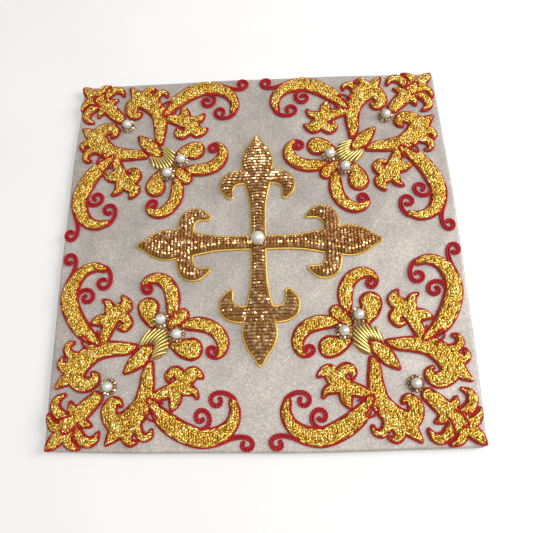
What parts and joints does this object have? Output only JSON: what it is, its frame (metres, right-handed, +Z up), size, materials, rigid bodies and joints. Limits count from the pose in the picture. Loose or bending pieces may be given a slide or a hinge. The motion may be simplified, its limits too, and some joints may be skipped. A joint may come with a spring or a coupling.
{
  "type": "chalice pall",
  "caption": "Stiffened square cloth cover for a chalice, with a padded gold cross, scrolling goldwork corners outlined in red cord, and pearls.",
  "frame": {"origin": "centre of the underside, on the surface the pall rests on", "axes": "+Z up out of the embroidered face, +Y towards the top of the cross as pictured, +X to its right"},
  "size_m": [0.1731, 0.1726, 0.012],
  "materials": {
    "cloth": "soft silvery champagne lame, mottled sheen",
    "gold_chips": "short cut chips of bright gilt wire, laid at random over padding",
    "cross_purl": "rows of faceted copper-gold cut purl over padding",
    "gold_cord": "bright twisted gilt cord",
    "satin_gold": "smooth bright gilt purl laid side by side",
    "red_cord": "twisted red silk cord, couched round the padding and curled free",
    "seed_bead": "faceted copper-gold seed beads",
    "pearl": "white pearl lustre"
  },
  "bodies": {
    "root": {"panel": "cloth", "cross_pad": "cross_purl", "cross_cord": "gold_cord", "cross_pearl": "pearl", "palmette_ne": "gold_chips", "branch_right_ne": "gold_chips", "branch_left_ne": "gold_chips", "flower_ne": "gold_chips", "petal_right_ne": "gold_chips", "petal_left_ne": "gold_chips", "leaf_ne": "gold_chips", "knot_ne": "satin_gold", "bead_ring_right_ne": "seed_bead", "pearl_right_ne": "pearl", "bead_ring_left_ne": "seed_bead", "pearl_left_ne": "pearl", "bead_ring_outer_ne": "seed_bead", "pearl_outer_ne": "pearl", "palmette_nw": "gold_chips", "branch_right_nw": "gold_chips", "branch_left_nw": "gold_chips", "flower_nw": "gold_chips", "petal_right_nw": "gold_chips", "petal_left_nw": "gold_chips", "leaf_nw": "gold_chips", "knot_nw": "satin_gold", "bead_ring_right_nw": "seed_bead", "pearl_right_nw": "pearl", "bead_ring_left_nw": "seed_bead", "pearl_left_nw": "pearl", "bead_ring_outer_nw": "seed_bead", "pearl_outer_nw": "pearl", "palmette_sw": "gold_chips", "branch_right_sw": "gold_chips", "branch_left_sw": "gold_chips", "flower_sw": "gold_chips", "petal_right_sw": "gold_chips", "petal_left_sw": "gold_chips", "leaf_sw": "gold_chips", "knot_sw": "satin_gold", "bead_ring_right_sw": "seed_bead", "pearl_right_sw": "pearl", "bead_ring_left_sw": "seed_bead", "pearl_left_sw": "pearl", "bead_ring_outer_sw": "seed_bead", "pearl_outer_sw": "pearl", "palmette_se": "gold_chips", "branch_right_se": "gold_chips", "branch_left_se": "gold_chips", "flower_se": "gold_chips", "petal_right_se": "gold_chips", "petal_left_se": "gold_chips", "leaf_se": "gold_chips", "knot_se": "satin_gold", "bead_ring_right_se": "seed_bead", "pearl_right_se": "pearl", "bead_ring_left_se": "seed_bead", "pearl_left_se": "pearl", "bead_ring_outer_se": "seed_bead", "pearl_outer_se": "pearl"}
  },
  "joints": []
}
